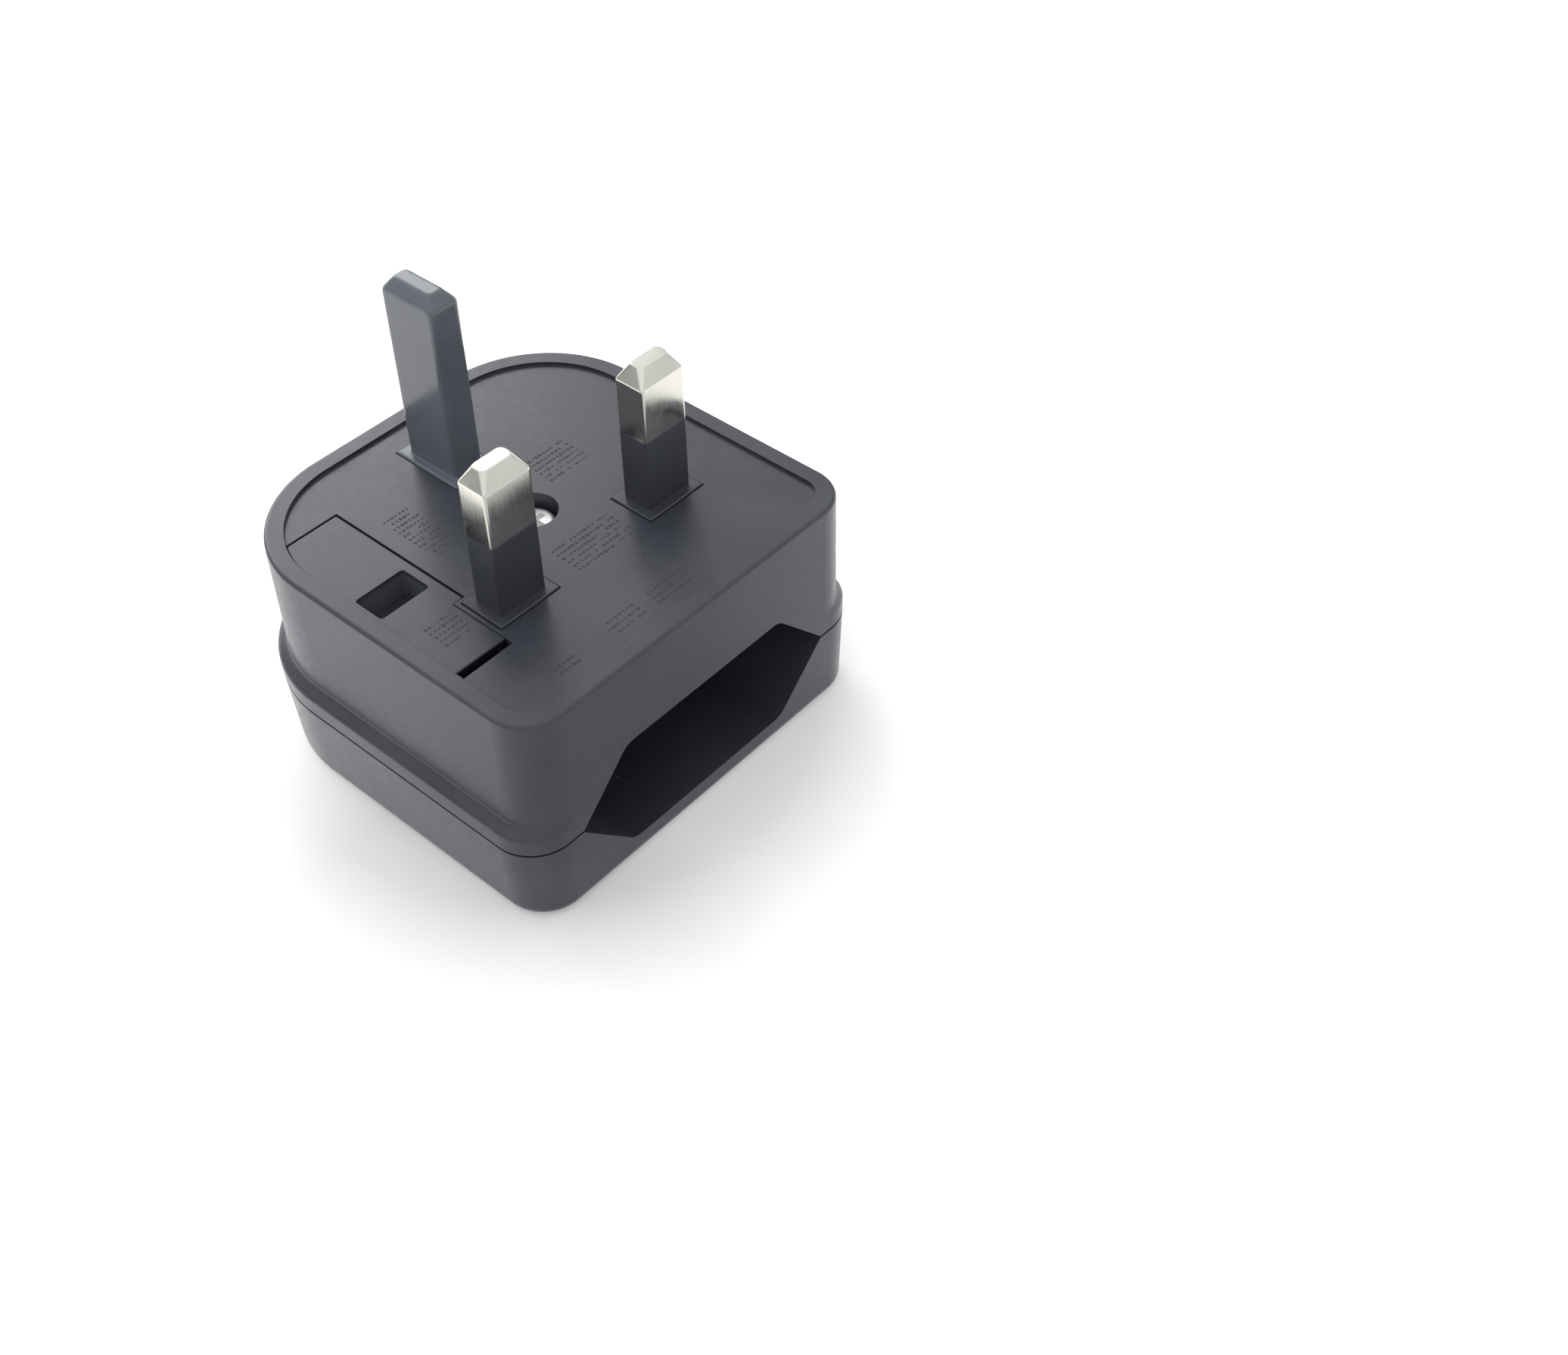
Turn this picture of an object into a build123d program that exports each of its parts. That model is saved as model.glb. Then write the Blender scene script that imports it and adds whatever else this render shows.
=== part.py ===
"""Travel adapter: round two-pin plug to three flat pins, standing on its back with the pins up."""

import os

from build123d import *

os.makedirs("parts", exist_ok=True)

# Case, in millimetres
case_width = 53.2
case_depth = 51.2
case_height = 28.7
wall = 1.6
floor_thickness = 2.0
roof_thickness = 2.0
front_corner = 5.2
back_corner = 16.2
base_draft = 0.5
base_front_draft = 0.05
base_round = 1.35
seam_gap = 0.3
seam_depth = 0.6
edge_round = 0.15

# Waist of the upper shell
waist = 1.28
flange_height = 2.0
shoulder_height = 1.4
shoulder_steps = 6
neck_draft = 0.16
rim_width = 2.2
rim_height = 0.4
rim_round = 0.45

# Flat pins
pin_spacing = 22.23
earth_offset = 22.23
pin_row_setback = 16.9
pin_width = 6.35
pin_thickness = 4.0
pin_length = 17.7
sleeve_length = 9.0
earth_width = 4.0
earth_breadth = 8.0
earth_length = 23.0
earth_tip_height = 1.4
earth_edge = 0.6
tip_inset = 1.05
tip_height = 1.95
tip_corner = 0.8
tip_round = 0.4
earth_tip_round = 0.9
pin_edge = 0.3
neck_width = 4.4
neck_thickness = 2.0
neck_clearance = 0.02
collar_border = 1.0
collar_depth = 3.0
collar_proud = 0.2
collar_gap = 0.12
pocket_floor = 1.8
boss_wall = 1.4
blade_lip = 0.5
blade_lip_height = 0.8
earth_lip = 0.7
earth_lip_height = 1.2
blade_round = 0.15

# Six-sided opening and the round-pin socket
opening_half_width = 19.4
opening_share = 0.2617
opening_base = 3.0
opening_flat = 12.1
opening_round = 2.4
tunnel_wall = 1.5
recess_depth = 17.0
entry_spacing = 19.0
entry_radius = 2.4
entry_chamfer = 0.4

# Contact block
block_plate = 2.0
block_half_width = 14.4
block_half_height = 5.5
block_length = 15.4
cavity_half_width = 3.3
cavity_half_height = 3.5
post_clearance = 0.3
rest_width = 1.2
rest_shift = 2.6
rest_front = 0.5
rest_back = 1.9
stop_depth = 1.4
stop_rise = 4.0
fit_gap = 0.1

# Sheet metal
sheet = 0.5
strip_width = 5.0
bend = 0.8
leaf_height = 6.0
leaf_rest = 2.5
leaf_pinch = 2.1
leaf_flare = 2.9
leaf_start = 0.45
leaf_throat = 2.2
leaf_run = 8.6
rivet_radius = 1.0
rivet_head = 1.8
rivet_head_height = 0.7
rivet_round = 0.3
rivet_clearance = 0.05
tab_rise = 2.3
strip_end = 1.5
strip_overhang = 0.8
crank_start = 3.5
crank_end = 1.5

# Case screw
screw_setback = 8.3
screw_head_radius = 2.45
screw_head_height = 1.8
screw_head_depth = 1.5
screw_well_radius = 2.9
screw_shank = 1.45
screw_length = 18.5
screw_hole = 1.65
screw_pilot = 1.5
cross_length = 2.9
cross_width = 0.7
cross_depth = 1.0
screw_head_round = 0.6
post_radius = 3.6

# Cartridge fuse and its carrier
fuse_length = 25.4
fuse_radius = 3.175
tube_radius = 2.95
cap_length = 6.0
cap_end = 0.3
cap_clearance = 0.02
cap_round = 0.25
fuse_side = 19.15
fuse_setback = 9.65
fuse_room = 0.15
clip_gap = 0.05
clip_rise = 1.4
clip_clearance = 0.76
cover_thickness = 1.2
cover_side_gap = 0.04
cover_inner = 14.6
cover_inner_front = 15.95
cover_end = 1.65
cover_jog = 3.6
cover_gap = 0.22
pry_slot = 0.65
ledge = 0.9
ledge_corner = 2.0
window_length = 4.3
window_side = 19.05
window_width = 6.6
window_wall = 0.5
window_round = 0.4
finger_thickness = 1.8
finger_half_width = 3.55
finger_reach = 1.6
finger_clearance = 0.04
finger_gap = 0.85
well_clearance = 0.12
rib_thickness = 1.2
rib_gap = 1.0
rib_side = 0.9

# Places worked out from the sizes above
front_face = -case_depth / 2
back_face = case_depth / 2
face_height = case_height - rim_height
rim_inset = waist + neck_draft + rim_width
rim_inner = case_width / 2 - rim_inset
roof_under = face_height - roof_thickness
opening_half_height = case_height * opening_share
joint_height = opening_base + opening_half_height
neck_bottom = joint_height + flange_height + shoulder_height
pin_x = pin_spacing / 2
pin_row = front_face + pin_row_setback
earth_y = pin_row + earth_offset
sleeve_top = case_height + sleeve_length
pin_top = case_height + pin_length
earth_top = case_height + earth_length
pocket_bottom = face_height - collar_depth
floor_under = pocket_bottom - pocket_floor
recess_end = front_face + recess_depth
block_back = recess_end + block_length
rest_length = block_length - block_plate - rest_front - rest_back
rest_middle = recess_end + block_plate + rest_front + rest_length / 2
web_y = block_back + fit_gap + sheet / 2
stop_middle = web_y + sheet / 2 + fit_gap + stop_depth / 2
strip_level = floor_under - sheet / 2
screw_y = pin_row + screw_setback
screw_head_top = face_height - screw_head_depth
screw_seat = screw_head_top - screw_head_height
fuse_x = -fuse_side
cover_mid_y = pin_row + fuse_setback
cover_front_y = cover_mid_y - fuse_length / 2 - cover_end
cover_back_y = cover_mid_y + fuse_length / 2 + cover_end
cover_under = face_height - cover_thickness
fuse_front = cover_mid_y - fuse_length / 2
fuse_back = cover_mid_y + fuse_length / 2
clip_reach = fuse_radius + clip_gap + sheet / 2
opening_slant = (opening_half_width - opening_flat) / opening_half_height
tunnel_tip = opening_half_width + tunnel_wall * (1 + opening_slant**2) ** 0.5
clip_inner = fuse_side - clip_reach - sheet / 2
clip_level = joint_height + (tunnel_tip - clip_inner + clip_clearance) / opening_slant + sheet / 2
fuse_z = clip_level + clip_reach
tab_level = clip_level + tab_rise
contact_tab_level = tab_level + sheet
link_level = contact_tab_level + sheet
rivet_y = fuse_back - cap_length / 2
entry_x = entry_spacing / 2
neutral_strip_x = (pin_x + entry_x) / 2
finger_place = fuse_length / 2 - cap_length - finger_gap - finger_thickness / 2
front_clip_y = fuse_front + cap_length / 2
window_floor = fuse_z + fuse_radius + well_clearance + window_wall
tall = 3 * case_height

# Planes the sketches lie on
socket_plane = Plane(origin=(0, front_face, joint_height), x_dir=(1, 0, 0), z_dir=(0, -1, 0))
recess_plane = Plane(origin=(0, recess_end, joint_height), x_dir=(1, 0, 0), z_dir=(0, -1, 0))


def level(height):
    """Plane that looks up, at one height."""
    return Plane.XY.offset(height)


def across(y):
    """Plane that looks toward the front, at one depth, with Z up."""
    return Plane(origin=(0, y, 0), x_dir=(1, 0, 0), z_dir=(0, -1, 0))


def along(x):
    """Plane that looks toward +X, at one place across the case, with Y to the right and Z up."""
    return Plane(origin=(x, 0, 0), x_dir=(0, 1, 0), z_dir=(1, 0, 0))


def case_outline(height, inset, front_inset=0.0):
    """Rounded outline of the case at one height, set in from the flange at the sides and back."""
    front = front_face + front_inset
    back = back_face - inset
    with BuildSketch(level(height)) as outline:
        with Locations((0, (front + back) / 2)):
            Rectangle(case_width - 2 * inset, back - front)
        fillet(outline.vertices().group_by(Axis.Y)[0], max(front_corner - front_inset, 0.5))
        fillet(outline.vertices().group_by(Axis.Y)[-1], max(back_corner - inset, 0.5))
    return outline.sketch


def seam_ring(height):
    """Ring round the case that leaves a dark line where the two shells meet."""
    with BuildSketch(level(height)) as ring:
        Rectangle(2 * case_width, 2 * case_depth)
        add(case_outline(height, seam_depth, seam_depth), mode=Mode.SUBTRACT)
    return ring.sketch


def opening_outline(plane, grow):
    """Six-sided opening, grown on every side, with its four flat corners rounded."""
    side = grow * (1 + opening_slant**2) ** 0.5
    high = opening_half_height + grow
    tip = opening_half_width + side
    flat = tip - opening_slant * high
    with BuildSketch(plane) as outline:
        Polygon((-tip, 0), (-flat, -high), (flat, -high), (tip, 0), (flat, high), (-flat, high), align=None)
        corners = outline.vertices().sort_by(Axis.X)[1:-1]
        fillet(corners, opening_round + grow)
    return outline.sketch


def cover_outline(height, gap, side_gap):
    """Outline of the fuse cover, narrower beside the line pin and trimmed by the rim."""
    outer = -case_width / 2
    inner = -cover_inner + gap
    inner_front = -cover_inner_front + side_gap
    front = cover_front_y - side_gap
    jog = pin_row + cover_jog - side_gap
    back = cover_back_y + gap
    inside = rim_inset - side_gap
    with BuildSketch(level(height)) as outline:
        with BuildLine():
            Polyline(
                (outer, front),
                (inner_front, front),
                (inner_front, jog),
                (inner, jog),
                (inner, back),
                (outer, back),
                close=True,
            )
        make_face()
        add(case_outline(height, inside, neck_draft + rim_width - side_gap), mode=Mode.INTERSECT)
    return outline.sketch


def smooth(part):
    """Eased step from 0 to 1."""
    return part * part * (3 - 2 * part)


# Upper shell: flange, eased shoulder, drafted neck and rim
shoulder = []
for step in range(shoulder_steps + 1):
    share = step / shoulder_steps
    section_height = joint_height + flange_height + shoulder_height * share
    shoulder.append(case_outline(section_height, waist * smooth(share)))

cavity_inset = waist + neck_draft + wall
cavity_front = neck_draft + wall

with BuildPart() as upper_shell:
    extrude(case_outline(joint_height, 0), amount=flange_height)
    extrude(seam_ring(joint_height), amount=seam_gap / 2, mode=Mode.SUBTRACT)
    loft(shoulder)
    loft(
        [
            case_outline(neck_bottom, waist),
            case_outline(case_height, waist + neck_draft, neck_draft),
        ],
        ruled=True,
    )
    fillet(upper_shell.edges().group_by(Axis.Z)[-1], rim_round)
    # Face sunk inside the rim, and the hollow under the roof
    extrude(
        case_outline(face_height, rim_inset, neck_draft + rim_width),
        amount=tall,
        mode=Mode.SUBTRACT,
    )
    extrude(
        case_outline(joint_height, cavity_inset, cavity_front),
        amount=roof_under - joint_height,
        mode=Mode.SUBTRACT,
    )
    # Room in the side wall for the fuse and its clips
    with BuildSketch(level(clip_level - sheet)):
        with Locations((fuse_x, cover_mid_y)):
            Rectangle(2 * (clip_reach + sheet / 2 + fuse_room), fuse_length + 2 * fuse_room + fit_gap)
    extrude(amount=roof_under - clip_level + sheet, mode=Mode.SUBTRACT)
    # Upper half of the socket tunnel
    with BuildSketch(Plane(socket_plane.origin + (0, wall / 2, 0), (1, 0, 0), (0, -1, 0))):
        add(opening_outline(Plane.XY, tunnel_wall))
        with Locations((0, case_height)):
            Rectangle(2 * case_width, 2 * case_height, mode=Mode.INTERSECT)
    extrude(amount=-(recess_depth - wall / 2))
    # Bosses under the pins, the screw post and the rib beside the fuse
    with BuildSketch(level(floor_under)):
        with Locations((-pin_x, pin_row), (pin_x, pin_row)):
            Rectangle(
                pin_width + 2 * (collar_border + collar_gap + boss_wall),
                pin_thickness + 2 * (collar_border + collar_gap + boss_wall),
            )
        with Locations((0, earth_y)):
            Rectangle(
                earth_width + 2 * (collar_border + collar_gap + boss_wall),
                earth_breadth + 2 * (collar_border + collar_gap + boss_wall),
            )
    extrude(amount=roof_under - floor_under)
    with BuildSketch(level(joint_height)):
        with Locations((0, screw_y)):
            Circle(post_radius)
    extrude(amount=roof_under - joint_height)
    with BuildSketch(level(fuse_z - rib_thickness)):
        with Locations((-cover_inner + rib_side, cover_mid_y)):
            Rectangle(rib_thickness, fuse_length - 2 * cap_length - 2 * rib_gap)
    extrude(amount=roof_under - fuse_z + rib_thickness)
    # Six-sided opening
    extrude(opening_outline(socket_plane, 0), amount=-recess_depth, both=True, mode=Mode.SUBTRACT)
    # Pockets for the pin collars, with slots for the tails
    with BuildSketch(level(pocket_bottom)):
        with Locations((-pin_x, pin_row), (pin_x, pin_row)):
            Rectangle(
                pin_width + 2 * (collar_border + collar_gap),
                pin_thickness + 2 * (collar_border + collar_gap),
            )
        with Locations((0, earth_y)):
            Rectangle(
                earth_width + 2 * (collar_border + collar_gap),
                earth_breadth + 2 * (collar_border + collar_gap),
            )
    extrude(amount=tall, mode=Mode.SUBTRACT)
    with BuildSketch(level(floor_under)):
        with Locations((-pin_x, pin_row), (pin_x, pin_row)):
            Rectangle(neck_width + 2 * fit_gap, neck_thickness + 2 * fit_gap)
        with Locations((0, earth_y)):
            Rectangle(neck_thickness + 2 * fit_gap, neck_width + 2 * fit_gap)
    extrude(amount=pocket_floor, mode=Mode.SUBTRACT)
    # Screw well and hole
    with BuildSketch(level(screw_seat)):
        with Locations((0, screw_y)):
            Circle(screw_well_radius)
    extrude(amount=tall, mode=Mode.SUBTRACT)
    with BuildSketch(level(joint_height)):
        with Locations((0, screw_y)):
            Circle(screw_hole)
    extrude(amount=tall, mode=Mode.SUBTRACT)
    # Opening for the fuse carrier, with a ledge at the back and at two front corners
    extrude(cover_outline(cover_under, cover_gap, cover_side_gap), amount=tall, mode=Mode.SUBTRACT)
    with BuildSketch(level(cover_under)):
        with Locations((-(rim_inner + cover_inner_front) / 2, cover_front_y - pry_slot / 2)):
            Rectangle(rim_inner - cover_inner_front, pry_slot)
    extrude(amount=tall, mode=Mode.SUBTRACT)
    with BuildSketch(level(floor_under)) as carrier_way:
        add(cover_outline(0, cover_gap, cover_side_gap))
        with Locations((fuse_x, cover_back_y + cover_gap)):
            Rectangle(2 * case_width, 2 * ledge, mode=Mode.SUBTRACT)
        with Locations((-rim_inner, cover_front_y), (-cover_inner_front, cover_front_y)):
            Rectangle(ledge_corner, 2 * ledge, mode=Mode.SUBTRACT)
    extrude(amount=tall, mode=Mode.SUBTRACT)
upper_shell.part.label = "upper_shell"

# Lower shell: drafted tray with a rounded underside
with BuildPart() as lower_shell:
    loft([case_outline(0, base_draft, base_front_draft), case_outline(joint_height, 0)], ruled=True)
    fillet(lower_shell.edges().group_by(Axis.Z)[0], base_round)
    extrude(seam_ring(joint_height), amount=-seam_gap / 2, mode=Mode.SUBTRACT)
    extrude(
        case_outline(floor_thickness, cavity_inset, cavity_front),
        amount=tall,
        mode=Mode.SUBTRACT,
    )
    # Lower half of the socket tunnel
    with BuildSketch(Plane(socket_plane.origin + (0, wall / 2, 0), (1, 0, 0), (0, -1, 0))):
        add(opening_outline(Plane.XY, tunnel_wall))
        with Locations((0, -(joint_height - floor_thickness / 2) / 2)):
            Rectangle(2 * case_width, joint_height - floor_thickness / 2, mode=Mode.INTERSECT)
    extrude(amount=-(recess_depth - wall / 2))
    # Screw post, rests for the contact block and stops behind the contacts
    with BuildSketch(level(floor_thickness)):
        with Locations((0, screw_y)):
            Circle(post_radius)
    extrude(amount=joint_height - floor_thickness)
    with BuildSketch(level(floor_thickness)):
        for side in (-1, 1):
            for shift in (-rest_shift, rest_shift):
                with Locations((side * entry_x + shift, rest_middle)):
                    Rectangle(rest_width, rest_length)
    extrude(amount=joint_height - block_half_height - floor_thickness)
    with BuildSketch(level(floor_thickness)):
        with Locations((-entry_x, stop_middle), (entry_x, stop_middle)):
            Rectangle(strip_width, stop_depth)
    extrude(amount=joint_height + stop_rise - floor_thickness)
    extrude(opening_outline(socket_plane, 0), amount=-recess_depth, both=True, mode=Mode.SUBTRACT)
    with BuildSketch(level(joint_height)):
        with Locations((0, screw_y)):
            Circle(screw_pilot)
    extrude(amount=-(joint_height - floor_thickness), mode=Mode.SUBTRACT)
lower_shell.part.label = "lower_shell"

# Contact block: plate behind the recess, a box for each contact and a hole for the screw post
with BuildPart() as contact_block:
    with BuildSketch(recess_plane):
        add(opening_outline(Plane.XY, tunnel_wall))
        Rectangle(2 * case_width, 2 * (joint_height - floor_thickness - fit_gap), mode=Mode.INTERSECT)
    extrude(amount=-block_plate)
    with BuildSketch(recess_plane):
        Rectangle(2 * block_half_width, 2 * block_half_height)
    extrude(amount=-block_length)
    with BuildSketch(recess_plane):
        with Locations((-entry_x, 0), (entry_x, 0)):
            Circle(entry_radius)
    extrude(amount=-block_plate, mode=Mode.SUBTRACT)
    front_rounds = contact_block.edges().filter_by(GeomType.CIRCLE).group_by(Axis.Y)[0]
    chamfer(front_rounds.filter_by(lambda edge: abs(edge.radius - entry_radius) < 0.001), entry_chamfer)
    with BuildSketch(Plane(recess_plane.origin + (0, block_plate, 0), (1, 0, 0), (0, -1, 0))):
        with Locations((-entry_x, 0), (entry_x, 0)):
            Rectangle(2 * cavity_half_width, 2 * cavity_half_height)
    extrude(amount=-block_length, mode=Mode.SUBTRACT)
    with BuildSketch(level(0)):
        with Locations((0, screw_y)):
            Circle(post_radius + post_clearance)
    extrude(amount=tall, mode=Mode.SUBTRACT)
contact_block.part.label = "contact_block"

# Earth pin with its collar and staked tail
with BuildPart() as earth_pin:
    with BuildSketch(level(pocket_bottom)):
        with Locations((0, earth_y)):
            Rectangle(earth_width + 2 * collar_border, earth_breadth + 2 * collar_border)
    extrude(amount=collar_depth + collar_proud)
    fillet(earth_pin.edges().group_by(Axis.Z)[-1], edge_round)
    with BuildSketch(level(face_height)):
        with Locations((0, earth_y)):
            RectangleRounded(earth_width, earth_breadth, earth_edge)
    extrude(amount=earth_top - earth_tip_height - face_height)
    with BuildSketch(level(earth_top - earth_tip_height)):
        with Locations((0, earth_y)):
            RectangleRounded(earth_width, earth_breadth, earth_edge)
    with BuildSketch(level(earth_top)):
        with Locations((0, earth_y)):
            RectangleRounded(earth_width - 2 * tip_inset, earth_breadth - 2 * tip_inset, earth_edge)
    loft(ruled=True)
    shoulder_edges = earth_pin.edges().filter_by_position(Axis.Z, earth_top - earth_tip_height, earth_top - earth_tip_height)
    fillet(shoulder_edges, earth_tip_round)
    fillet(earth_pin.edges().group_by(Axis.Z)[-1], tip_round)
    with BuildSketch(level(floor_under)):
        with Locations((0, earth_y)):
            Rectangle(neck_thickness, neck_width)
    extrude(amount=pocket_floor)
    with BuildSketch(level(floor_under)):
        with Locations((0, earth_y)):
            Rectangle(neck_thickness + 2 * earth_lip, neck_width + 2 * earth_lip)
    extrude(amount=-earth_lip_height)
earth_pin.part.label = "earth_pin"


def blade(x):
    """Plated pin: chamfered head, neck through the sleeve and peened tail."""
    with BuildPart() as pin:
        with BuildSketch(level(sleeve_top)):
            with Locations((x, pin_row)):
                RectangleRounded(pin_width, pin_thickness, pin_edge)
        extrude(amount=pin_top - tip_height - sleeve_top)
        with BuildSketch(level(pin_top - tip_height)):
            with Locations((x, pin_row)):
                RectangleRounded(pin_width, pin_thickness, pin_edge)
        with BuildSketch(level(pin_top)):
            with Locations((x, pin_row)):
                RectangleRounded(pin_width - 2 * tip_inset, pin_thickness - 2 * tip_inset, tip_corner)
        loft(ruled=True)
        shoulder_edges = pin.edges().filter_by_position(Axis.Z, pin_top - tip_height, pin_top - tip_height)
        fillet(shoulder_edges, tip_round)
        fillet(pin.edges().group_by(Axis.Z)[-1], blade_round)
        with BuildSketch(level(strip_level - sheet / 2)):
            with Locations((x, pin_row)):
                Rectangle(neck_width, neck_thickness)
        extrude(amount=sleeve_top - strip_level + sheet / 2)
        with BuildSketch(level(strip_level - sheet / 2)):
            with Locations((x, pin_row)):
                Rectangle(neck_width + 2 * blade_lip, neck_thickness + 2 * blade_lip)
        extrude(amount=-blade_lip_height)
    return pin


def sleeve(x):
    """Insulating sleeve flush with the blade, with the collar that sits in the face."""
    with BuildPart() as cover:
        with BuildSketch(level(pocket_bottom)):
            with Locations((x, pin_row)):
                Rectangle(pin_width + 2 * collar_border, pin_thickness + 2 * collar_border)
        extrude(amount=collar_depth + collar_proud)
        fillet(cover.edges().group_by(Axis.Z)[-1], edge_round)
        with BuildSketch(level(face_height)):
            with Locations((x, pin_row)):
                RectangleRounded(pin_width, pin_thickness, pin_edge)
        extrude(amount=sleeve_top - face_height)
        with BuildSketch(level(pocket_bottom)):
            with Locations((x, pin_row)):
                Rectangle(neck_width + 2 * neck_clearance, neck_thickness + 2 * neck_clearance)
        extrude(amount=tall, mode=Mode.SUBTRACT)
    return cover


line_pin = blade(-pin_x)
line_pin.part.label = "line_pin"
neutral_pin = blade(pin_x)
neutral_pin.part.label = "neutral_pin"
line_pin_sleeve = sleeve(-pin_x)
line_pin_sleeve.part.label = "line_pin_sleeve"
neutral_pin_sleeve = sleeve(pin_x)
neutral_pin_sleeve.part.label = "neutral_pin_sleeve"

# Case screw: pan head with a cross recess, and its shank
with BuildPart() as case_screw:
    with BuildSketch(level(screw_seat)):
        with Locations((0, screw_y)):
            Circle(screw_head_radius)
    extrude(amount=screw_head_height)
    fillet(case_screw.edges().group_by(Axis.Z)[-1], screw_head_round)
    with BuildSketch(level(screw_seat)):
        with Locations((0, screw_y)):
            Circle(screw_shank)
    extrude(amount=-screw_length)
    with BuildSketch(level(screw_head_top)):
        with Locations((0, screw_y)):
            Rectangle(cross_length, cross_width)
            Rectangle(cross_width, cross_length)
    extrude(amount=-cross_depth, taper=12, mode=Mode.SUBTRACT)
case_screw.part.label = "case_screw"

# Fuse: ceramic tube and two end caps
with BuildPart() as fuse_tube:
    with BuildSketch(across(fuse_front + cap_end)):
        with Locations((fuse_x, fuse_z)):
            Circle(tube_radius)
    extrude(amount=-(fuse_length - 2 * cap_end))
fuse_tube.part.label = "fuse_tube"


def fuse_cap(end, reach):
    """Plated cup over one end of the fuse tube."""
    with BuildPart() as cap:
        with BuildSketch(across(end)):
            with Locations((fuse_x, fuse_z)):
                Circle(fuse_radius)
        extrude(amount=-reach * cap_length)
        fillet(cap.edges().group_by(Axis.Y)[0 if reach > 0 else -1], cap_round)
        with BuildSketch(across(end + reach * cap_end)):
            with Locations((fuse_x, fuse_z)):
                Circle(tube_radius + cap_clearance)
        extrude(amount=-reach * cap_length, mode=Mode.SUBTRACT)
    return cap


fuse_cap_front = fuse_cap(fuse_front, 1)
fuse_cap_front.part.label = "fuse_cap_front"
fuse_cap_rear = fuse_cap(fuse_back, -1)
fuse_cap_rear.part.label = "fuse_cap_rear"

# Fuse carrier: cover plate, window well and two fingers that hold the tube
with BuildPart() as fuse_carrier:
    extrude(cover_outline(cover_under, 0, 0), amount=cover_thickness)
    fillet(fuse_carrier.edges().group_by(Axis.Z)[-1], edge_round)
    with BuildSketch(level(window_floor - window_wall)):
        with Locations((-window_side, cover_mid_y)):
            Rectangle(window_width + 2 * window_wall, window_length + 2 * window_wall)
    extrude(amount=cover_under - window_floor + window_wall)
    for finger_y in (-1, 1):
        with BuildSketch(across(cover_mid_y + finger_y * finger_place)):
            with Locations((fuse_x, (cover_under + fuse_z - finger_reach) / 2)):
                Rectangle(2 * finger_half_width, cover_under - fuse_z + finger_reach)
            with Locations((fuse_x, fuse_z)):
                Circle(tube_radius + finger_clearance, mode=Mode.SUBTRACT)
        extrude(amount=finger_thickness / 2, both=True)
    extrude(cover_outline(0, 0, 0), amount=tall, mode=Mode.INTERSECT)
    with BuildSketch(level(window_floor)):
        with Locations((-window_side, cover_mid_y)):
            RectangleRounded(window_width, window_length, window_round)
    extrude(amount=tall, mode=Mode.SUBTRACT)
fuse_carrier.part.label = "fuse_carrier"

# Bent strip from the line pin to the front of the fuse
tongue_end = -pin_x + neck_width / 2 + strip_end
tongue_start = fuse_x + clip_reach + bend
with BuildPart() as fuse_front_clip:
    with BuildSketch(across(front_clip_y)):
        with BuildLine():
            FilletPolyline(
                (fuse_x - clip_reach, fuse_z + clip_rise),
                (fuse_x - clip_reach, clip_level),
                (fuse_x + clip_reach, clip_level),
                (fuse_x + clip_reach, strip_level),
                (tongue_start + bend, strip_level),
                radius=bend,
            )
        trace(line_width=sheet)
    extrude(amount=strip_width / 2, both=True)
    with BuildSketch(level(strip_level)):
        with Locations(((tongue_start + tongue_end) / 2, pin_row)):
            Rectangle(tongue_end - tongue_start, strip_width)
    extrude(amount=sheet / 2, both=True)
    with BuildSketch(level(strip_level)):
        with Locations((-pin_x, pin_row)):
            Rectangle(neck_width + fit_gap, neck_thickness + fit_gap)
    extrude(amount=sheet, both=True, mode=Mode.SUBTRACT)
fuse_front_clip.part.label = "fuse_front_clip"

# Bent strip from the back of the fuse to the line contact
with BuildPart() as fuse_rear_clip:
    with BuildSketch(across(rivet_y)):
        with BuildLine():
            FilletPolyline(
                (fuse_x - clip_reach, fuse_z + clip_rise),
                (fuse_x - clip_reach, clip_level),
                (fuse_x + clip_reach, clip_level),
                (fuse_x + clip_reach, tab_level),
                (-entry_x + strip_width / 2, tab_level),
                radius=bend,
            )
        trace(line_width=sheet)
    extrude(amount=strip_width / 2, both=True)
    with BuildSketch(level(tab_level)):
        with Locations((-entry_x, rivet_y)):
            Circle(rivet_radius + rivet_clearance)
    extrude(amount=sheet, both=True, mode=Mode.SUBTRACT)
fuse_rear_clip.part.label = "fuse_rear_clip"


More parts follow.
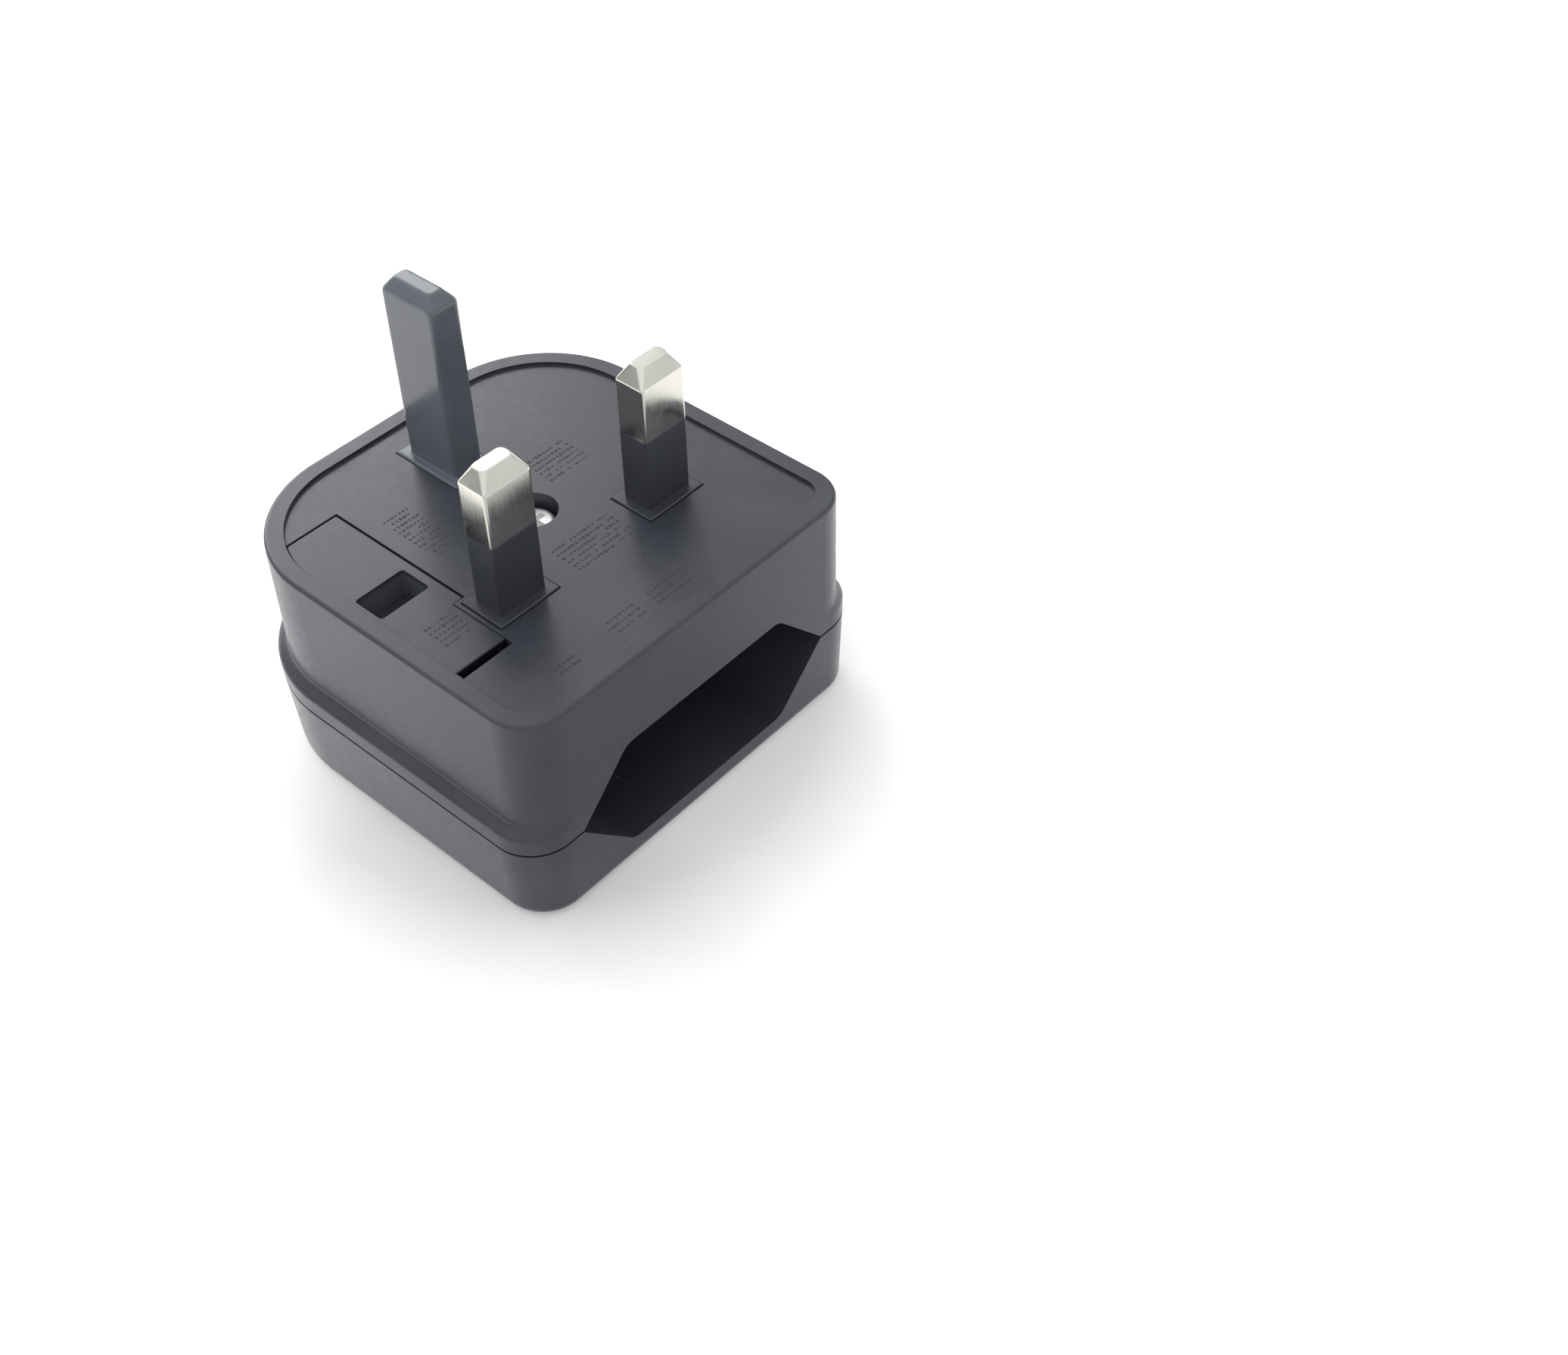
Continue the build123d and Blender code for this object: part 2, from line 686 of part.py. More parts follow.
def contact(x):
    """Folded spring contact: two pinched leaves, and a tab that rises behind the block."""
    mouth = recess_end + block_plate + leaf_start
    with BuildPart() as spring:
        with BuildSketch(level(joint_height - leaf_height / 2)):
            with BuildLine():
                FilletPolyline(
                    (x - leaf_flare, mouth),
                    (x - leaf_pinch, mouth + leaf_throat),
                    (x - leaf_rest, mouth + leaf_run),
                    (x - leaf_rest, web_y),
                    (x + leaf_rest, web_y),
                    (x + leaf_rest, mouth + leaf_run),
                    (x + leaf_pinch, mouth + leaf_throat),
                    (x + leaf_flare, mouth),
                    radius=bend,
                )
            trace(line_width=sheet)
        extrude(amount=leaf_height)
        with BuildSketch(along(x)):
            with BuildLine():
                FilletPolyline(
                    (web_y, joint_height - leaf_height / 2),
                    (web_y, contact_tab_level),
                    (rivet_y + strip_width / 2, contact_tab_level),
                    radius=bend,
                )
            trace(line_width=sheet)
        extrude(amount=leaf_rest - bend, both=True)
        with BuildSketch(level(contact_tab_level)):
            with Locations((x, rivet_y)):
                Circle(rivet_radius + rivet_clearance)
        extrude(amount=sheet, both=True, mode=Mode.SUBTRACT)
    return spring


line_contact = contact(-entry_x)
line_contact.part.label = "line_contact"
neutral_contact = contact(entry_x)
neutral_contact.part.label = "neutral_contact"

# Bent strip from the neutral pin to the neutral contact
with BuildPart() as neutral_strip:
    with BuildSketch(along(neutral_strip_x)):
        with BuildLine():
            FilletPolyline(
                (pin_row - neck_thickness / 2 - strip_end, strip_level),
                (web_y - crank_start, strip_level),
                (web_y - crank_end, link_level),
                (rivet_y + strip_width / 2, link_level),
                radius=bend,
            )
        trace(line_width=sheet)
    extrude(amount=strip_width / 2 + strip_overhang, both=True)
    with BuildSketch(level(strip_level)):
        with Locations((pin_x, pin_row)):
            Rectangle(neck_width + fit_gap, neck_thickness + fit_gap)
    extrude(amount=sheet, both=True, mode=Mode.SUBTRACT)
    with BuildSketch(level(link_level)):
        with Locations((entry_x, rivet_y)):
            Circle(rivet_radius + rivet_clearance)
    extrude(amount=sheet, both=True, mode=Mode.SUBTRACT)
neutral_strip.part.label = "neutral_strip"


def rivet(x, lower):
    """Rivet through two sheets, with a head on each side."""
    bottom = lower - sheet / 2
    with BuildPart() as pin:
        with BuildSketch(level(bottom)):
            with Locations((x, rivet_y)):
                Circle(rivet_radius)
        extrude(amount=2 * sheet)
        with BuildSketch(level(bottom), level(bottom + 2 * sheet + rivet_head_height)):
            with Locations((x, rivet_y)):
                Circle(rivet_head)
        extrude(amount=-rivet_head_height)
        fillet(pin.edges().group_by(Axis.Z)[0], rivet_round)
        fillet(pin.edges().group_by(Axis.Z)[-1], rivet_round)
    return pin


line_rivet = rivet(-entry_x, tab_level)
line_rivet.part.label = "line_rivet"
neutral_rivet = rivet(entry_x, contact_tab_level)
neutral_rivet.part.label = "neutral_rivet"

export_step(upper_shell.part, "parts/upper_shell.step")
export_step(lower_shell.part, "parts/lower_shell.step")
export_step(contact_block.part, "parts/contact_block.step")
export_step(earth_pin.part, "parts/earth_pin.step")
export_step(line_pin.part, "parts/line_pin.step")
export_step(neutral_pin.part, "parts/neutral_pin.step")
export_step(line_pin_sleeve.part, "parts/line_pin_sleeve.step")
export_step(neutral_pin_sleeve.part, "parts/neutral_pin_sleeve.step")
export_step(case_screw.part, "parts/case_screw.step")
export_step(fuse_tube.part, "parts/fuse_tube.step")
export_step(fuse_cap_front.part, "parts/fuse_cap_front.step")
export_step(fuse_cap_rear.part, "parts/fuse_cap_rear.step")
export_step(fuse_carrier.part, "parts/fuse_carrier.step")
export_step(fuse_front_clip.part, "parts/fuse_front_clip.step")
export_step(fuse_rear_clip.part, "parts/fuse_rear_clip.step")
export_step(line_contact.part, "parts/line_contact.step")
export_step(neutral_contact.part, "parts/neutral_contact.step")
export_step(neutral_strip.part, "parts/neutral_strip.step")
export_step(line_rivet.part, "parts/line_rivet.step")
export_step(neutral_rivet.part, "parts/neutral_rivet.step")
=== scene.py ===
"""Finishes, relief, studio and camera for the travel adapter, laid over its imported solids."""

import math

import bmesh
import bpy
from mathutils import Matrix, Vector


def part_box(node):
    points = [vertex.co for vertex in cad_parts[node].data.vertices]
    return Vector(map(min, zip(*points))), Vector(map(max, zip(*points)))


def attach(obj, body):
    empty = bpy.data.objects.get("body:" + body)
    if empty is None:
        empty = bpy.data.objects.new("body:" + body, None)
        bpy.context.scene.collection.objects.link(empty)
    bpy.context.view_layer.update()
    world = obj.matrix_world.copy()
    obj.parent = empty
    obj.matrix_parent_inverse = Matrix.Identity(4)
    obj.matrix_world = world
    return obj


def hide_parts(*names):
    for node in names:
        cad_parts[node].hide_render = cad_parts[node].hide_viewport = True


bl_info = {
    "name": "Travel adapter dresser",
    "version": (1, 0, 0),
    "blender": (4, 5, 0),
    "location": "View3D > Sidebar > Adapter",
    "description": "Finishes, moulded relief, studio and camera for a travel adapter",
    "category": "Object",
}

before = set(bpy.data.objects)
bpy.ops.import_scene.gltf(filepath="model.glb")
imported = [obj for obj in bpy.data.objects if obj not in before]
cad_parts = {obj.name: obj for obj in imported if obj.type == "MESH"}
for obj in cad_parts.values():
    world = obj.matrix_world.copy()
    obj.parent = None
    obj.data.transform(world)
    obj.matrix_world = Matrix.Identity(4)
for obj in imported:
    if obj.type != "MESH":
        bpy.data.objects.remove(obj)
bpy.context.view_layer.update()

CASE_NODES = ("upper_shell", "lower_shell", "contact_block")
BLADE_NODES = ("line_pin", "neutral_pin")
SLEEVE_NODES = ("line_pin_sleeve", "neutral_pin_sleeve")
FUSE_CAP_NODES = ("fuse_cap_front", "fuse_cap_rear")
BRASS_NODES = (
    "fuse_front_clip",
    "fuse_rear_clip",
    "line_contact",
    "neutral_contact",
    "neutral_strip",
    "line_rivet",
    "neutral_rivet",
)
MM = 0.001

# Moulded plastic: scales count per metre, lengths are in metres
PLASTIC_IOR = 1.55
PATCH_SCALE = 140.0
DARK_TONE = 0.88
PALE_TONE = 1.12
GLOSS_SPREAD = 0.05
CASE_EDGE = 0.00008
EARTH_EDGE = 0.0005
EDGE_SHARE = 0.55
DUST_SCALE = 420.0
DUST_SPECK = 0.07
DUST_SHARE = 0.55
DUST_ROUGHNESS = 0.3
DUST_COLOUR = (0.42, 0.42, 0.41)

# Fuse carrier: its window's well is painted, paler walls as painted light and a darker floor as
# painted shade, setting in between two depths; its slot's end wall is painted dark as shade
WELL_DEPTHS = (0.0002, 0.0009)
WELL_WALL_PAINTED_LIGHT = (0.15, 0.16, 0.19)
WELL_FLOOR_PAINTED_SHADE = (0.05, 0.053, 0.065)
SLOT_END_PAINTED_SHADE = (0.010, 0.011, 0.015)
LID_END = 0.0002
MERGE_DISTANCE = 0.000001

# Plated metal
METAL_EDGE = 0.00016
LEAST_ROUGHNESS = 0.03

# Floor: each glow runs between two places in metres, from one share of the lift to another
FLOOR_REACH = 3.0
FLOOR_LEVEL = -0.00003
# Ring, right and back glows are for the camera: weaker near the object, they paint the floor's
# shadow falloff
RING_GLOW = (0.0325, 0.052, 0.87, 2.04)
RIGHT_GLOW = (-0.016, -0.006, 0.0, 0.22)
BACK_GLOW = (0.0, 0.020, 0.0, 0.74)
# Mirror and foot glows are for reflections: they paint a brighter floor toward the back, the right
# and the object's foot, for the case's walls to reflect
MIRROR_GLOW = (-0.035, 0.030, 0.3, 2.3)
FOOT_GLOW = (0.0295, 0.0325, 0.75, 0.0)
MIRROR_RIGHT = 0.012
MIRROR_SLANT = 1.6
GLOW_COLOUR = (1.0, 1.0, 0.995, 1.0)

# Room: heights and directions are parts of a unit vector
SKYLINE = (-0.60, 0.40, 0.80, 0.45)
OVERHEAD = (0.25, 0.65)
FRONT_FADE = (-0.70, 0.30, 0.45, 1.0)
ROOM_TINT = (0.965, 0.985, 1.0)
WHITE = (1.0, 1.0, 1.0)

# Lamp, in metres
LAMP_SIZE = (0.73, 0.54)
LAMP_PLACE = (0.26, 0.85, 0.45)
LAMP_AIM = (0.0, 0.0, 0.015)


# ---------------------------------------------------------------- settings


class ADAPTER_PG_plastic(bpy.types.PropertyGroup):
    """Colours and surface of the moulded pieces."""

    case_colour: bpy.props.FloatVectorProperty(
        name="Case colour",
        description="Black of the two shells, the fuse carrier and the contact block",
        subtype="COLOR",
        size=3,
        min=0.0,
        max=1.0,
        default=(0.053, 0.057, 0.073),
    )
    earth_colour: bpy.props.FloatVectorProperty(
        name="Earth pin colour",
        description="Dark grey of the plastic earth pin",
        subtype="COLOR",
        size=3,
        min=0.0,
        max=1.0,
        default=(0.168, 0.179, 0.211),
    )
    sleeve_colour: bpy.props.FloatVectorProperty(
        name="Sleeve colour",
        description="Black of the insulating sleeves",
        subtype="COLOR",
        size=3,
        min=0.0,
        max=1.0,
        default=(0.058, 0.063, 0.079),
    )
    case_roughness: bpy.props.FloatProperty(
        name="Case roughness",
        description="Satin of the case, before its grain",
        subtype="FACTOR",
        min=0.05,
        max=1.0,
        default=0.32,
    )
    grain_size: bpy.props.FloatProperty(
        name="Grain size",
        description="Width of one grain of the moulded texture",
        subtype="DISTANCE",
        unit="LENGTH",
        min=0.00002,
        max=0.002,
        default=0.00016,
    )
    grain_depth: bpy.props.FloatProperty(
        name="Grain depth",
        description="Depth of the moulded texture",
        subtype="DISTANCE",
        unit="LENGTH",
        min=0.0,
        max=0.0002,
        default=0.0000025,
    )
    dust: bpy.props.FloatProperty(
        name="Dust",
        description="Share of the cells on upward faces that hold a speck of dust",
        subtype="FACTOR",
        min=0.0,
        max=1.0,
        default=0.08,
    )


class ADAPTER_PG_metal(bpy.types.PropertyGroup):
    """Colours and surface of the metal and ceramic pieces."""

    nickel_colour: bpy.props.FloatVectorProperty(
        name="Nickel colour",
        description="Plating of the two blades",
        subtype="COLOR",
        size=3,
        min=0.0,
        max=1.0,
        default=(0.75, 0.73, 0.665),
    )
    zinc_colour: bpy.props.FloatVectorProperty(
        name="Screw colour",
        description="Plating of the case screw",
        subtype="COLOR",
        size=3,
        min=0.0,
        max=1.0,
        default=(0.95, 0.95, 0.94),
    )
    brass_colour: bpy.props.FloatVectorProperty(
        name="Brass colour",
        description="Rolled strip of the clips and contacts",
        subtype="COLOR",
        size=3,
        min=0.0,
        max=1.0,
        default=(0.74, 0.55, 0.26),
    )
    cap_colour: bpy.props.FloatVectorProperty(
        name="Fuse cap colour",
        description="Plating of the fuse's end caps",
        subtype="COLOR",
        size=3,
        min=0.0,
        max=1.0,
        default=(0.76, 0.75, 0.72),
    )
    ceramic_colour: bpy.props.FloatVectorProperty(
        name="Ceramic colour",
        description="Body of the cartridge fuse",
        subtype="COLOR",
        size=3,
        min=0.0,
        max=1.0,
        default=(0.80, 0.77, 0.69),
    )
    nickel_roughness: bpy.props.FloatProperty(
        name="Nickel roughness",
        description="Gloss of the plated blades",
        subtype="FACTOR",
        min=0.02,
        max=1.0,
        default=0.14,
    )


class ADAPTER_PG_relief(bpy.types.PropertyGroup):
    """Sizes of the raised marks and of the carrier's slot."""

    rise: bpy.props.FloatProperty(
        name="Rise",
        description="Height of a raised mark above the face",
        subtype="DISTANCE",
        unit="LENGTH",
        min=0.0,
        max=0.0005,
        default=0.000024,
    )
    stroke: bpy.props.FloatProperty(
        name="Stroke",
        description="Width of a raised mark",
        subtype="DISTANCE",
        unit="LENGTH",
        min=0.00005,
        max=0.001,
        default=0.00042,
    )
    face_depth: bpy.props.FloatProperty(
        name="Face depth",
        description="How far the pin face lies below the top of its rim",
        subtype="DISTANCE",
        unit="LENGTH",
        min=0.0,
        max=0.005,
        default=0.0004,
    )
    slot_opening: bpy.props.FloatProperty(
        name="Slot opening",
        description="How far the carrier's lid stops short, to open the slot that lifts it",
        subtype="DISTANCE",
        unit="LENGTH",
        min=0.0,
        max=0.001,
        default=0.00045,
    )
    seed: bpy.props.IntProperty(
        name="Seed",
        description="Picks the lengths of the marks",
        default=7,
    )


class ADAPTER_PG_stage(bpy.types.PropertyGroup):
    """Floor, light and camera."""

    floor_colour: bpy.props.FloatVectorProperty(
        name="Floor colour",
        description="Colour of the floor and of the light around it",
        subtype="COLOR",
        size=3,
        min=0.0,
        max=1.0,
        default=(0.90, 0.90, 0.895),
    )
    floor_lift: bpy.props.FloatProperty(
        name="Floor lift",
        description="Brightness that the floor shows to the camera and in reflections",
        min=0.0,
        max=1.0,
        default=0.27,
    )
    room_light: bpy.props.FloatProperty(
        name="Room light",
        description="Strength of the overhead light, which fades toward the horizon and front",
        min=0.0,
        max=4.0,
        default=1.0,
    )
    key_power: bpy.props.FloatProperty(
        name="Key power",
        description="Power of the large soft lamp behind the object",
        subtype="POWER",
        unit="POWER",
        min=0.0,
        max=200.0,
        default=4.0,
    )
    camera_place: bpy.props.FloatVectorProperty(
        name="Camera place",
        description="Where the camera stands",
        subtype="TRANSLATION",
        unit="LENGTH",
        size=3,
        default=(-0.103855, -0.127165, 0.163862),
    )
    camera_angles: bpy.props.FloatVectorProperty(
        name="Camera angles",
        description="Turn, tilt and roll of the camera",
        subtype="EULER",
        unit="ROTATION",
        size=3,
        default=tuple(math.radians(part) for part in (-49.6886, 44.9335, 0.5194)),
    )
    camera_lens: bpy.props.FloatProperty(
        name="Focal length",
        description="Focal length on a sensor 36 mm wide, in millimetres",
        min=10.0,
        max=300.0,
        default=43.9934,
    )


# ---------------------------------------------------------------- node helpers


def feed(tree, socket, value):
    """Links a socket to another one, or gives it a value."""
    if isinstance(value, bpy.types.NodeSocket):
        tree.links.new(value, socket)
    else:
        socket.default_value = value


def add_node(tree, kind, inputs=None, **settings):
    """New node of a tree, with attributes set and input sockets given a value or a link."""
    made = tree.nodes.new(kind)
    for name, value in settings.items():
        setattr(made, name, value)
    for key, value in (inputs or {}).items():
        feed(tree, made.inputs[key], value)
    return made


def maths(tree, operation, first, second=0.0, clamp=False):
    """Output of a Math node."""
    inputs = {0: first, 1: second}
    made = add_node(tree, "ShaderNodeMath", inputs, operation=operation, use_clamp=clamp)
    return made.outputs[0]


def share_of(tree, first, second, share):
    """Mean of two values, of which the first counts for a share."""
    part = maths(tree, "MULTIPLY", first, share)
    rest = maths(tree, "MULTIPLY", second, 1.0 - share)
    return maths(tree, "ADD", part, rest)


def remap(tree, value, low, high, to_low=0.0, to_high=1.0):
    """Output of a Map Range node that clamps."""
    made = add_node(
        tree,
        "ShaderNodeMapRange",
        {"Value": value, "From Min": low, "From Max": high, "To Min": to_low, "To Max": to_high},
    )
    return made.outputs["Result"]


def blend_colours(tree, share, first, second):
    """Output of a colour Mix node."""
    made = add_node(tree, "ShaderNodeMix", {0: share}, data_type="RGBA", blend_type="MIX")
    for place, value in ((6, first), (7, second)):
        linked = isinstance(value, bpy.types.NodeSocket)
        feed(tree, made.inputs[place], value if linked else (*value, 1.0))
    return made.outputs[2]


def scaled(colour, share):
    """Colour made darker or paler, up to white."""
    return tuple(min(1.0, share * part) for part in colour)


def upward(tree):
    """Share by which a face looks up."""
    plain = add_node(tree, "ShaderNodeNewGeometry")
    facing = add_node(tree, "ShaderNodeSeparateXYZ", {"Vector": plain.outputs["Normal"]})
    return remap(tree, facing.outputs["Z"], 0.3, 0.8)


def in_mirrors(tree, ray):
    """Whether a ray comes from a reflection or through glass."""
    glossy = ray.outputs["Is Glossy Ray"]
    return maths(tree, "ADD", glossy, ray.outputs["Is Transmission Ray"], clamp=True)


def new_group(name, takes, gives):
    """Empty shader node group with named sockets, and its input and output nodes."""
    tree = bpy.data.node_groups.new(name, "ShaderNodeTree")
    for label, kind, default in takes:
        socket = tree.interface.new_socket(name=label, in_out="INPUT", socket_type=kind)
        if default is not None:
            socket.default_value = default
    for label, kind in gives:
        tree.interface.new_socket(name=label, in_out="OUTPUT", socket_type=kind)
    return tree, tree.nodes.new("NodeGroupInput"), tree.nodes.new("NodeGroupOutput")


def use_group(tree, name, inputs):
    """Node that places a shader group in a material."""
    made = tree.nodes.new("ShaderNodeGroup")
    made.node_tree = bpy.data.node_groups[name]
    for key, value in inputs.items():
        feed(tree, made.inputs[key], value)
    return made


def new_material(name):
    """Empty material, its tree, its Principled shader and its object coordinates."""
    material = bpy.data.materials.new(name)
    material.use_nodes = True
    tree = material.node_tree
    tree.nodes.clear()
    out = tree.nodes.new("ShaderNodeOutputMaterial")
    shader = tree.nodes.new("ShaderNodeBsdfPrincipled")
    tree.links.new(shader.outputs["BSDF"], out.inputs["Surface"])
    coords = tree.nodes.new("ShaderNodeTexCoord")
    return material, tree, shader, coords.outputs["Object"]


def add_bump(tree, shader, depth, height, normal=None):
    """Feeds a shader's normal from a height, over softened edges where they are given."""
    inputs = {"Strength": 1.0, "Distance": depth, "Height": height}
    if normal is not None:
        inputs["Normal"] = normal
    bump = add_node(tree, "ShaderNodeBump", inputs)
    tree.links.new(bump.outputs["Normal"], shader.inputs["Normal"])


def finish_nodes(material, *names):
    """Gives CAD nodes one material."""
    for name in names:
        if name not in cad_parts:
            raise RuntimeError(f"the frame has no piece named {name}")
        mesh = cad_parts[name].data
        mesh.materials.clear()
        mesh.materials.append(material)


# ---------------------------------------------------------------- shared effects


def make_grain_group():
    """Moulded grain: a fine height, a broad tone and an uneven gloss."""
    tree, source, sink = new_group(
        "moulded_grain",
        [
            ("Vector", "NodeSocketVector", None),
            ("Grain Scale", "NodeSocketFloat", 6000.0),
            ("Patch Scale", "NodeSocketFloat", PATCH_SCALE),
        ],
        [
            ("Height", "NodeSocketFloat"),
            ("Tone", "NodeSocketFloat"),
            ("Gloss", "NodeSocketFloat"),
        ],
    )
    place = source.outputs["Vector"]
    fine = add_node(
        tree,
        "ShaderNodeTexNoise",
        {"Vector": place, "Scale": source.outputs["Grain Scale"], "Detail": 2.0, "Roughness": 0.6},
    )
    patch = add_node(
        tree,
        "ShaderNodeTexNoise",
        {"Vector": place, "Scale": source.outputs["Patch Scale"], "Detail": 4.0, "Roughness": 0.55},
    )
    finer = maths(tree, "MULTIPLY", source.outputs["Patch Scale"], 7.0)
    flow = add_node(
        tree,
        "ShaderNodeTexNoise",
        {"Vector": place, "Scale": finer, "Detail": 3.0},
    )
    tree.links.new(fine.outputs["Fac"], sink.inputs["Height"])
    tree.links.new(remap(tree, patch.outputs["Fac"], 0.30, 0.70), sink.inputs["Tone"])
    mixed = share_of(tree, patch.outputs["Fac"], flow.outputs["Fac"], 0.5)
    tree.links.new(remap(tree, mixed, 0.35, 0.65), sink.inputs["Gloss"])


def make_edge_group():
    """Softened edges: a normal that rounds sharp corners and a mask along them."""
    tree, source, sink = new_group(
        "softened_edges",
        [("Radius", "NodeSocketFloat", 0.0002)],
        [("Normal", "NodeSocketVector"), ("Edge", "NodeSocketFloat")],
    )
    bevel = add_node(tree, "ShaderNodeBevel", {"Radius": source.outputs["Radius"]}, samples=6)
    plain = add_node(tree, "ShaderNodeNewGeometry")
    along = add_node(tree, "ShaderNodeVectorMath", operation="DOT_PRODUCT")
    tree.links.new(bevel.outputs["Normal"], along.inputs[0])
    tree.links.new(plain.outputs["Normal"], along.inputs[1])
    tree.links.new(bevel.outputs["Normal"], sink.inputs["Normal"])
    tree.links.new(remap(tree, along.outputs["Value"], 0.995, 0.80), sink.inputs["Edge"])


def make_dust_group():
    """Sparse specks of dust on faces that look up."""
    tree, source, sink = new_group(
        "dust_specks",
        [
            ("Vector", "NodeSocketVector", None),
            ("Cell Scale", "NodeSocketFloat", DUST_SCALE),
            ("Share", "NodeSocketFloat", 0.05),
            ("Speck", "NodeSocketFloat", DUST_SPECK),
        ],
        [("Mask", "NodeSocketFloat")],
    )
    cells = add_node(
        tree,
        "ShaderNodeTexVoronoi",
        {
            "Vector": source.outputs["Vector"],
            "Scale": source.outputs["Cell Scale"],
            "Randomness": 1.0,
        },
    )
    split = add_node(tree, "ShaderNodeSeparateColor", {"Color": cells.outputs["Color"]})
    uneven = maths(tree, "ADD", split.outputs["Green"], 0.35)
    size = maths(tree, "MULTIPLY", source.outputs["Speck"], uneven)
    near = maths(tree, "LESS_THAN", cells.outputs["Distance"], size)
    chosen = maths(tree, "LESS_THAN", split.outputs["Red"], source.outputs["Share"])
    specks = maths(tree, "MULTIPLY", near, chosen)
    tree.links.new(maths(tree, "MULTIPLY", specks, upward(tree)), sink.inputs["Mask"])


def make_drawn_group():
    """Drawn metal: fine lines along one direction, and broad changes of gloss."""
    tree, source, sink = new_group(
        "drawn_metal",
        [
            ("Vector", "NodeSocketVector", None),
            ("Stretch", "NodeSocketVector", (9000.0, 9000.0, 350.0)),
        ],
        [("Height", "NodeSocketFloat"), ("Tone", "NodeSocketFloat"), ("Gloss", "NodeSocketFloat")],
    )
    stretched = add_node(tree, "ShaderNodeVectorMath", operation="MULTIPLY")
    tree.links.new(source.outputs["Vector"], stretched.inputs[0])
    tree.links.new(source.outputs["Stretch"], stretched.inputs[1])
    lines = add_node(
        tree,
        "ShaderNodeTexNoise",
        {"Vector": stretched.outputs["Vector"], "Scale": 1.0, "Detail": 3.0},
    )
    patch = add_node(
        tree,
        "ShaderNodeTexNoise",
        {"Vector": source.outputs["Vector"], "Scale": 330.0, "Detail": 4.0},
    )
    tree.links.new(lines.outputs["Fac"], sink.inputs["Height"])
    tree.links.new(remap(tree, patch.outputs["Fac"], 0.3, 0.7), sink.inputs["Tone"])
    both = share_of(tree, lines.outputs["Fac"], patch.outputs["Fac"], 0.4)
    tree.links.new(remap(tree, both, 0.35, 0.65), sink.inputs["Gloss"])


# ---------------------------------------------------------------- finishes


def paint_well_shade(tree, place, colour, sunk_box):
    """Colour of the fuse carrier with painted light and shade: paler walls and a darker floor
    inside its window's well, and painted shade on its slot's end wall.
    """
    front, top = sunk_box
    split = add_node(tree, "ShaderNodeSeparateXYZ", {"Vector": place})
    sunk = remap(tree, split.outputs["Z"], top - WELL_DEPTHS[0], top - WELL_DEPTHS[1])
    # Paler walls and a darker floor: painted light and painted shade in the window's well
    painted_light_and_shade = blend_colours(tree, upward(tree), WELL_WALL_PAINTED_LIGHT, WELL_FLOOR_PAINTED_SHADE)
    painted_well = blend_colours(tree, sunk, colour, painted_light_and_shade)
    # Near-black slot end wall: painted shade in the narrow slot
    slot_end_shade = remap(tree, split.outputs["Y"], front + LID_END, front + 0.5 * LID_END)
    return blend_colours(tree, slot_end_shade, painted_well, SLOT_END_PAINTED_SHADE)


def moulded_plastic(
    name,
    colour,
    roughness,
    grain_size,
    grain_depth,
    dust,
    edge_lift=1.15,
    edge_radius=CASE_EDGE,
    sunk_box=None,
):
    """Dark moulding with grain, softened and slightly paler edges, partly rubbed wear and partly a
    painted highlight, and dust.
    """
    material, tree, shader, place = new_material(name)
    grain = use_group(
        tree,
        "moulded_grain",
        {"Vector": place, "Grain Scale": 1.0 / grain_size, "Patch Scale": PATCH_SCALE},
    )
    edges = use_group(tree, "softened_edges", {"Radius": edge_radius})
    specks = use_group(
        tree,
        "dust_specks",
        {"Vector": place, "Cell Scale": DUST_SCALE, "Share": dust, "Speck": DUST_SPECK},
    )
    dark, pale, rubbed_and_lit = (scaled(colour, share) for share in (DARK_TONE, PALE_TONE, edge_lift))
    tone = blend_colours(tree, grain.outputs["Tone"], dark, pale)
    # Paler edges: partly rubbed wear, partly a painted highlight along them
    wear_and_highlight = maths(tree, "MULTIPLY", edges.outputs["Edge"], EDGE_SHARE)
    edged = blend_colours(tree, wear_and_highlight, tone, rubbed_and_lit)
    cover = maths(tree, "MULTIPLY", specks.outputs["Mask"], DUST_SHARE)
    shown = blend_colours(tree, cover, edged, DUST_COLOUR)
    # The fuse carrier's window well and slot end get painted light and shade
    if sunk_box is not None:
        shown = paint_well_shade(tree, place, shown, sunk_box)
    tree.links.new(shown, shader.inputs["Base Color"])
    least, most = roughness - GLOSS_SPREAD, roughness + GLOSS_SPREAD
    gloss = remap(tree, grain.outputs["Gloss"], 0.0, 1.0, least, most)
    matte = maths(tree, "MULTIPLY", specks.outputs["Mask"], DUST_ROUGHNESS)
    tree.links.new(maths(tree, "ADD", gloss, matte), shader.inputs["Roughness"])
    add_bump(tree, shader, grain_depth, grain.outputs["Height"], edges.outputs["Normal"])
    shader.inputs["IOR"].default_value = PLASTIC_IOR
    return material


